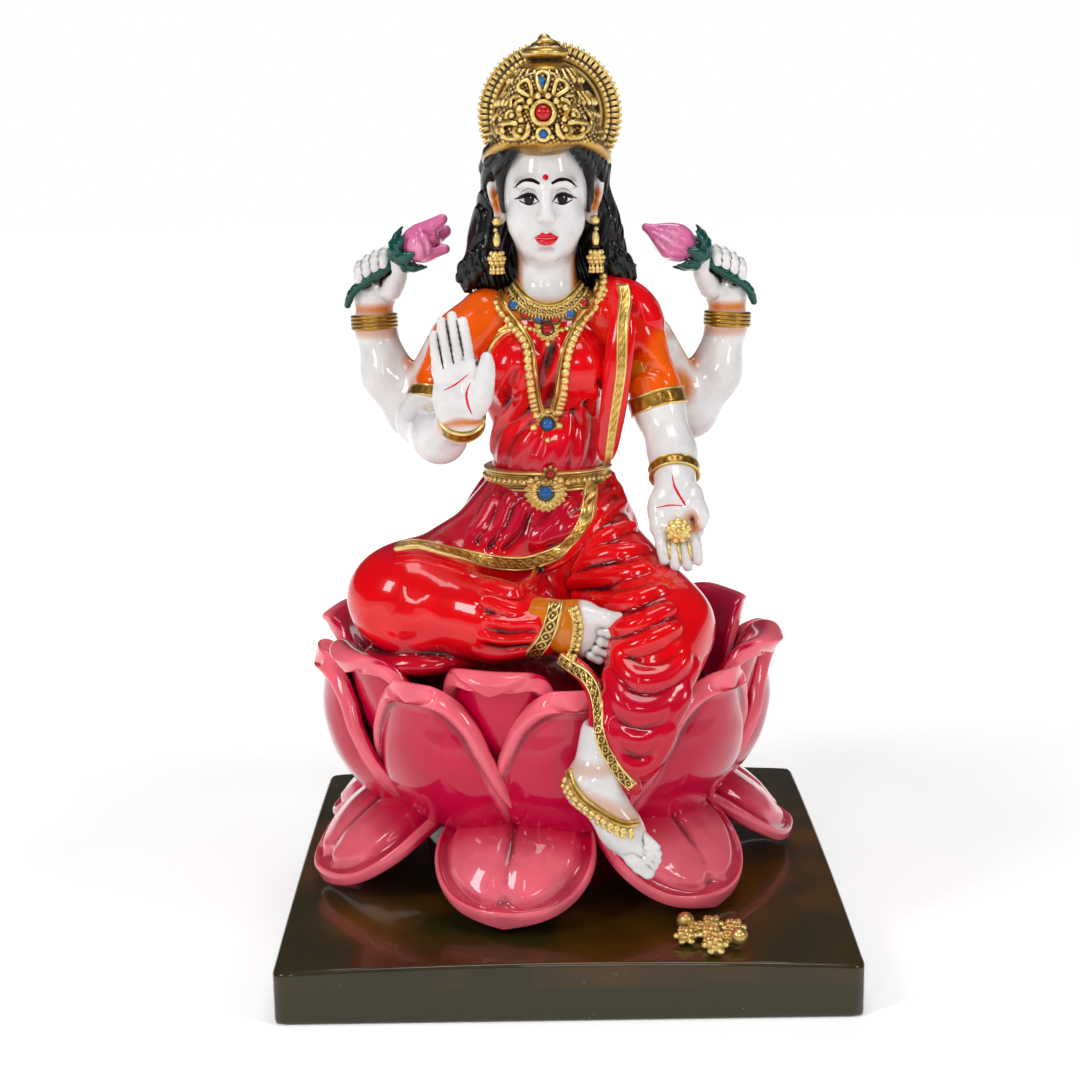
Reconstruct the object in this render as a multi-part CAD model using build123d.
from build123d import *
import math
import os

# Seated four-armed goddess on a lotus: a cast, glued and painted resin statuette on a domed slab.
# Frame: +Z up, +X to the viewer's right, -Y towards the viewer, origin at the centre of the slab's
# underside, millimetres. "right" and "left" are the figure's own, so the right arm is at -X.

# Driving dimensions
SLAB_SIDE = 186.0
SLAB_CROWN = 22.0  # slab height at its middle
SLAB_CORNER = 17.4  # slab height at its four corners
SLAB_CORNER_R = 7.0
LOTUS_X = -5.0
LOTUS_RADIUS = 77.0  # half the lotus cup's width from side to side
LOTUS_DEPTH_SHARE = 0.88  # the lotus is this much shorter from front to back
CUP_BOTTOM_Z = 46.0
SEAT_Z = 97.0
FIGURE_X = -4.0
WAIST_Z = 160.0
SHOULDER_Z = 207.0
HEAD_Z = 251.0
HALO_Z = 278.0
HALO_RADIUS = 24.3
CROWN_TOP = 304.0

CUP_PETALS = 8
CUP_FIRST_AZIMUTH = -128.0  # -90 faces the viewer
OUTER_PETALS = 7
OUTER_FIRST_AZIMUTH = -102.0

nodes = {}
placed = []  # every solid already in place, with its bounding box


def apart(box, other):
    """True when two bounding boxes cannot touch."""
    spans = [
        (box.min.X, other.max.X),
        (box.min.Y, other.max.Y),
        (box.min.Z, other.max.Z),
        (other.min.X, box.max.X),
        (other.min.Y, box.max.Y),
        (other.min.Z, box.max.Z),
    ]
    return any(low > high for low, high in spans)


def add(name, *pieces):
    """Files a node, one solid per piece, each cut back to touch only what is already in place."""
    solids = []
    for piece in pieces:
        box = piece.bounding_box()
        for solid, solid_box in placed:
            if not apart(box, solid_box):
                piece = piece - solid
        kept = max(piece.solids(), key=lambda s: s.volume)
        placed.append((kept, kept.bounding_box()))
        solids.append(kept)
    nodes[name] = solids[0] if len(solids) == 1 else Compound(children=solids)


# Shape helpers
def across(start, end):
    """Unit vector from start to end."""
    return (Vector(*end) - Vector(*start)).normalized()


def ball(centre, radius):
    return Pos(*centre) * Sphere(radius)


def disc(centre, radius, depth):
    """A flat stone or boss facing the front."""
    return Pos(*centre) * Rot(90, 0, 0) * Cylinder(radius, depth)


def egg(centre, radii, tilt=(0, 0, 0)):
    """An ellipsoid with its own three radii, turned by tilt."""
    return Pos(*centre) * Rot(*tilt) * scale(Sphere(1), by=radii)


def limb(points, radii, flat=1.0):
    """A tapered limb lofted through round sections; flat squashes each section sideways."""
    sections = []
    for i, (point, radius) in enumerate(zip(points, radii)):
        before, after = points[max(i - 1, 0)], points[min(i + 1, len(points) - 1)]
        heading = across(before, after)
        side = heading.cross(Vector(0, 0, 1))
        side = side.normalized() if side.length > 0.2 else Vector(1, 0, 0)
        plane = Plane(origin=Vector(*point), x_dir=side, z_dir=heading)
        sections.append(plane * Ellipse(radius, radius * flat))
    return loft(sections)


def column(levels):
    """A body lofted through level ellipses, each (z, centre x, centre y, half width, half depth)."""
    return loft([Pos(x, y, z) * Ellipse(a, b) for z, x, y, a, b in levels])


def strip(points, radius):
    """A round moulding bent along a smooth line."""
    line = Spline(*[Vector(*p) for p in points])
    return sweep(Plane(origin=line @ 0, z_dir=line % 0) * Circle(radius), path=line)


def bangle(centre, heading, radius, wire):
    plane = Plane(origin=Vector(*centre), z_dir=Vector(*heading))
    return plane.location * Torus(radius, wire)


def band(radius, thickness, half_angle):
    """A level face between two arcs about the origin, centred on +X."""
    inner = radius - thickness
    a = math.radians(half_angle)

    def at(r, angle):
        return (r * math.cos(angle), r * math.sin(angle))

    edges = [
        ThreePointArc(at(radius, -a), at(radius, 0), at(radius, a)),
        Line(at(radius, a), at(inner, a)),
        ThreePointArc(at(inner, a), at(inner, 0), at(inner, -a)),
        Line(at(inner, -a), at(radius, -a)),
    ]
    return make_face(edges)


def lotus_reach(azimuth, radius):
    """The oval lotus's radius in one direction, for a radius measured sideways."""
    a = math.radians(azimuth)
    return radius / math.hypot(math.cos(a), math.sin(a) / LOTUS_DEPTH_SHARE)


# Slab and lotus
def slab():
    corner_run = math.hypot(SLAB_SIDE / 2, SLAB_SIDE / 2)
    drop = SLAB_CROWN - SLAB_CORNER
    dome_radius = (corner_run**2 + drop**2) / (2 * drop)
    block = Pos(0, 0, SLAB_CROWN / 2) * Box(SLAB_SIDE, SLAB_SIDE, SLAB_CROWN)
    block = fillet(block.edges().filter_by(Axis.Z), SLAB_CORNER_R)
    return block & (Pos(0, 0, SLAB_CROWN - dome_radius) * Sphere(dome_radius))


def lotus_core():
    """The mound under the cup and the seat inside it, in one casting."""
    profile = [
        (SLAB_CORNER, 46),
        (30, 50),
        (CUP_BOTTOM_Z, 40),
        (58, 50),
        (76, 62),
        (SEAT_Z, 60),
    ]
    depth = LOTUS_DEPTH_SHARE
    return column([(z, LOTUS_X, 0, r, r * depth) for z, r in profile])


def cup_petal(azimuth, profile):
    """An upright petal: bands (z, radius, thickness, half angle) lofted from root to lip."""
    widest = max(r for _, r, _, _ in profile)
    shift = lotus_reach(azimuth, widest) - widest
    sections = [Pos(shift, 0, z) * band(r, t, h) for z, r, t, h in profile]
    return Pos(LOTUS_X, 0, 0) * Rot(0, 0, azimuth) * loft(sections)


CUP_PROFILE = [
    (CUP_BOTTOM_Z, 44, 8, 10),
    (56, 60, 8, 18),
    (70, 71, 8, 22),
    (86, 74, 6, 19),
    (98, LOTUS_RADIUS, 4, 5),
]
INNER_PROFILE = [(80, 66, 5, 8), (91, 67, 5, 14), (101, 70, 4, 5)]


def outer_petal(azimuth):
    """A drooping petal, from its root under the cup down to its tip on the slab."""
    stations = [(38, 49, 9, 5), (54, 43, 20, 6), (72, 32, 21, 6), (86, 29, 8, 3)]
    share = lotus_reach(azimuth, 1.0)
    sections = [
        Plane(origin=(r * share, 0, z), x_dir=(0, 1, 0), z_dir=(1, 0, -0.35)) * Ellipse(w, t)
        for r, z, w, t in stations
    ]
    return Pos(LOTUS_X, 0, 0) * Rot(0, 0, azimuth) * loft(sections)


add("base_slab", slab())
add("lotus_core", lotus_core())
for i in range(CUP_PETALS):
    add(f"cup_petal_{i + 1}", cup_petal(CUP_FIRST_AZIMUTH + i * 360 / CUP_PETALS, CUP_PROFILE))
for i in range(OUTER_PETALS):
    add(f"outer_petal_{i + 1}", outer_petal(OUTER_FIRST_AZIMUTH + i * 360 / OUTER_PETALS))

# Body and dress
torso = column(
    [
        (WAIST_Z - 8, FIGURE_X, 0, 21, 17),
        (WAIST_Z, FIGURE_X, 0, 20, 16),
        (177, FIGURE_X, 0, 22, 18),
        (192, FIGURE_X, -2, 27, 22),
        (SHOULDER_Z, FIGURE_X, 0, 31, 16),
        (217, FIGURE_X, 0, 22, 11),
    ]
)
add("torso", torso)
hips = column(
    [
        (SEAT_Z, FIGURE_X, 4, 34, 34),
        (115, FIGURE_X, 2, 40, 36),
        (135, FIGURE_X, 0, 34, 28),
        (WAIST_Z - 8, FIGURE_X, 0, 21, 17),
    ]
)
add("hips", hips)
hanging_thigh = limb([(16, -8, 124), (28, -30, 122), (33, -46, 120), (36, -58, 116)], [20, 20, 17, 13])
add("hanging_thigh", hanging_thigh)
add("hanging_shin", limb([(33, -56, 112), (27, -68, 96), (18, -75, 80), (13, -77, 68)], [19, 15, 11, 8]))
folded_leg = limb([(-66, -22, 121), (-48, -32, 121), (-28, -42, 117), (-4, -50, 114)], [13, 20, 17, 10])
add("folded_leg", folded_leg)
between = [CUP_FIRST_AZIMUTH + (i + 0.5) * 360 / CUP_PETALS for i in range(CUP_PETALS)]
inner = [cup_petal(azimuth, INNER_PROFILE) for azimuth in between]
add("inner_petals", *inner)


def toes(root, heading, spread, count, length, radius):
    """A fan of round fingers or toes, evenly spaced along spread."""
    made = []
    for i in range(count):
        start = Vector(*root) + Vector(*spread) * (i / (count - 1) - 0.5)
        end = start + Vector(*heading) * length
        plane = Plane(origin=start, z_dir=end - start)
        made.append(plane * Pos(0, 0, length / 2) * Cylinder(radius, length))
        made.append(Pos(*end) * Sphere(radius))
    return made


folded_foot = egg((8, -56.5, 115), (12, 6.5, 8.5))
for toe in toes((14, -57, 115), (0.88, -0.1, -0.35), (0.5, 0, 9), 4, 6, 1.7):
    folded_foot += toe
add("folded_foot", folded_foot)
hanging_foot = limb([(11, -77, 67), (16, -81, 57), (23, -83, 50)], [7, 7, 6.5])
for toe in toes((24, -83, 49), (0.8, -0.15, -0.58), (7, -1, 7), 4, 5, 2):
    hanging_foot += toe
add("hanging_foot", hanging_foot)
drape_run = [(19, -8, 220), (23, -17, 207), (22, -23, 190), (19, -19, 165)]
add("shoulder_drape", limb(drape_run, [6, 6, 5.5, 4], 0.5))

# Arms: each runs from the shoulder to the fingertips in pieces that meet end to end
add("sleeve_right", limb([(-28, 0, 212), (-37, -3, 202), (-42, -8, 186)], [9, 11, 10]))
add("sleeve_left", limb([(20, 0, 212), (31, -2, 202), (36, -5, 180)], [9, 11, 10]))
bent_elbow = [(-42, -8, 186), (-44, -17, 174), (-38, -30, 173), (-31, -44, 181)]
add("forearm_right", limb(bent_elbow, [9, 9, 8.5, 7]))
add("forearm_left", limb([(36, -5, 180), (37, -11, 170), (38, -22, 160)], [9.5, 8, 6.5]))


def open_hand(wrist, palm, fingers, across_palm, reach, palm_width):
    """A flat palm with four fingers beyond it and a thumb at its side."""
    heading = across(wrist, palm)
    made = limb([wrist, palm, fingers], [palm_width * 0.42, palm_width * 0.5, palm_width * 0.45], 0.45)
    wide = Vector(*across_palm) * palm_width * 0.72
    for digit in toes(fingers, tuple(heading), tuple(wide), 4, reach, palm_width * 0.115):
        made += digit
    thumb_root = Vector(*palm) + Vector(*across_palm) * palm_width * 0.3
    thumb_tip = thumb_root + Vector(*across_palm) * palm_width * 0.32 + heading * palm_width * 0.45
    return made + limb([tuple(thumb_root), tuple(thumb_tip)], [2.4, 1.9])


add("hand_right", open_hand((-31, -46, 182), (-30, -50, 192), (-31.5, -51, 203), (1, 0, 0), 13, 18))
add("hand_left", open_hand((38, -24, 159), (39, -34, 153), (40, -40, 146), (-1, 0, 0), 9, 16))
for side, name in ((-1, "right"), (1, "left")):

    def at(x, y, z):
        return (FIGURE_X + 0.5 + side * (x + 1.0), y, z)

    arm = [at(34, 14, 196), at(42, 20, 181), at(52, 22, 184), at(59, 21, 196), at(60.5, 20, 208)]
    add(f"rear_arm_{name}", limb(arm, [7, 9, 8.5, 7.5, 6.5]))
    hand = limb([at(60.5, 20, 208), at(59, 18, 216), at(57, 16, 224)], [6.5, 7, 5])
    add(f"rear_hand_{name}", hand)
    stem = limb([at(65, 12, 220), at(53, 13, 228)], [1.6, 1.8])
    calyx = limb([at(53, 13, 228), at(47, 13, 231)], [6.5, 8])
    petals = limb([at(47, 13, 231), at(41, 13, 234.5), at(34, 13, 240)], [7.5, 7, 2.5])
    add(f"lotus_bud_{name}", stem + calyx + petals)

# Head, hair and crown
head = egg((FIGURE_X + 0.5, -6, HEAD_Z), (13.8, 16, 21))
head += limb([(FIGURE_X, -1, 213), (FIGURE_X + 0.5, -2, 240)], [10.5, 9.5])
for side in (-1, 1):
    head += egg((FIGURE_X + 1 + side * 17.5, -1, 250), (3.2, 3, 9), (0, side * 12, 0))
add("head", head)
hair = egg((FIGURE_X + 1, 6, 252), (18, 14, 22)) + column(
    [(219, FIGURE_X + 1, 12, 25, 8), (229, FIGURE_X + 1, 11, 26, 9), (245, FIGURE_X + 1, 8, 18, 9)]
)
add("hair", hair)
crown_cap = column(
    [
        (263, FIGURE_X + 1, 0, 19.5, 21),
        (270, FIGURE_X + 1, 0, 20.5, 22),
        (284, FIGURE_X + 1, 1, 17, 18),
        (294, FIGURE_X + 1, 3, 9, 10),
    ]
)
add("crown_cap", crown_cap)
halo_plane = Plane(origin=(FIGURE_X + 2.5, 14, HALO_Z), x_dir=(1, 0, 0), z_dir=(0, -1, 0))
halo = halo_plane * Cylinder(HALO_RADIUS, 3.5) - halo_plane * Cylinder(17.5, 5)
halo -= Pos(FIGURE_X, 14, 255) * Box(80, 12, 18)  # open at the bottom, behind the hair
add("crown_halo", halo)
bun = Pos(0, 0, CROWN_TOP - 8.3) * Cylinder(7, 3.4)
cone = Pos(0, 0, CROWN_TOP - 3.3) * Cone(5.2, 0.8, 6.6)
add("crown_finial", Pos(FIGURE_X + 1, 3, 0) * (bun + cone))
add("crown_crest", egg((FIGURE_X, -20, 278), (15, 4.5, 10), (-8, 0, 0)))
CREST_GEMS = [((FIGURE_X, -23.5, 278.5), 3.4), ((FIGURE_X, -22, 288), 2.2), ((FIGURE_X, -23, 270.5), 1.6)]
add("crown_gems", *[ball(spot, radius) for spot, radius in CREST_GEMS])
earrings = []
for side in (-1, 1):
    x = FIGURE_X + 0.8 + side * 15.5
    earrings.append(limb([(x, -9, 244), (x, -9, 238), (x, -9, 233), (x, -9, 227)], [1.6, 2, 3, 2.2]))
add("earrings", *earrings)


# Ornaments laid on the dress
def ring_belt(z, half_width, half_depth, height, thick):
    outer = Pos(FIGURE_X, 0, z) * extrude(Ellipse(half_width, half_depth), height)
    inner = Pos(FIGURE_X, 0, z) * extrude(Ellipse(half_width - thick, half_depth - thick), height)
    return outer - inner


add("waist_belt", ring_belt(WAIST_Z - 3.5, 22.5, 18.5, 6.5, 4))
add("belt_buckle", limb([(FIGURE_X - 1, -17, 154), (FIGURE_X - 1, -23, 153)], [8, 6.5]))
SASH = [(10, -15, 156), (9, -22, 144), (-4, -31, 135), (-24, -36, 135), (-48, -30, 140)]
add("sash_border", strip(SASH, 3.2))
folded_hem = strip([(-2, -56, 125), (2, -60, 116), (-2, -56, 106)], 2.6)
hanging_hem = strip([(2, -72, 75), (12, -82, 70), (23, -79, 69)], 2.6)
add("ankle_hems", folded_hem, hanging_hem)
COLLAR = [(-18.5, -4, 217.5), (-14.5, -15, 211), (-4, -20.5, 207.5), (6.5, -15, 211), (10.5, -4, 217.5)]
add("collar_necklace", strip(COLLAR, 2.6))
GEM_SPOTS = [(-14, -20.5, 209), (-9.5, -23, 206), (-4, -24, 205), (1.5, -23, 206), (6, -20.5, 209)]
collar_gems = [disc(spot, 2.1, 4) for spot in GEM_SPOTS]
add("collar_gems", *collar_gems)
right_run = strip([(-20, -14, 214), (-17, -22, 200), (-12, -25, 186), (-8, -22, 176)], 1.8)
left_run = strip([(13, -14, 214), (9, -22, 200), (3, -25, 186), (0, -22, 176)], 1.8)
add("long_necklace", right_run, left_run)
add("necklace_pendants", disc((FIGURE_X, -23.5, 199), 4.2, 5), disc((FIGURE_X, -22.5, 174.5), 4.4, 6))
bangles = [
    bangle((-31, -45.4, 181.6), (0.1, -0.8, 0.6), 7.6, 1.8),
    bangle((38, -22.6, 160), (0.1, -0.8, -0.7), 7.2, 1.5),
    bangle((FIGURE_X + 0.5 - 61.4, 20, 207), (0.1, 0, 1), 6.8, 2),
    bangle((FIGURE_X + 0.5 + 61.4, 20, 207), (-0.1, 0, 1), 6.8, 2),
]
add("bangles", *bangles)
right_armband = bangle((-42, -8, 186.5), (-0.2, -0.4, -1), 9.6, 1.8)
left_armband = bangle((36, -5, 181), (0.1, -0.2, -1), 9.8, 1.8)
add("armbands", right_armband, left_armband)
folded_anklet = bangle((2, -55, 115), (1, -0.2, 0), 8, 1.6)
hanging_anklet = bangle((12, -78, 62), (0.5, -0.3, -0.8), 8, 1.6)
add("anklets", folded_anklet, hanging_anklet)
add("palm_flower", egg((39.5, -42, 146), (4, 3, 4)))

# Offerings laid in front of the lotus
FLOWERS = [(45.5, -79, 4.2), (36, -80, 4.2), (47, -70, 4.0), (55, -72, 4.0), (46, -88, 4.4)]
BEADS = [(38, -71, 3.6), (54, -82, 3.8)]
flowers = [Pos(x, y, 21.5) * Cone(r, r * 0.5, 5) for x, y, r in FLOWERS]
add("offering_flowers", *flowers)
add("offering_beads", *[ball((x, y, 23), r) for x, y, r in BEADS])

os.makedirs("parts", exist_ok=True)
for name, shape in nodes.items():
    export_step(shape, f"parts/{name}.step")
print(len(nodes), "nodes")
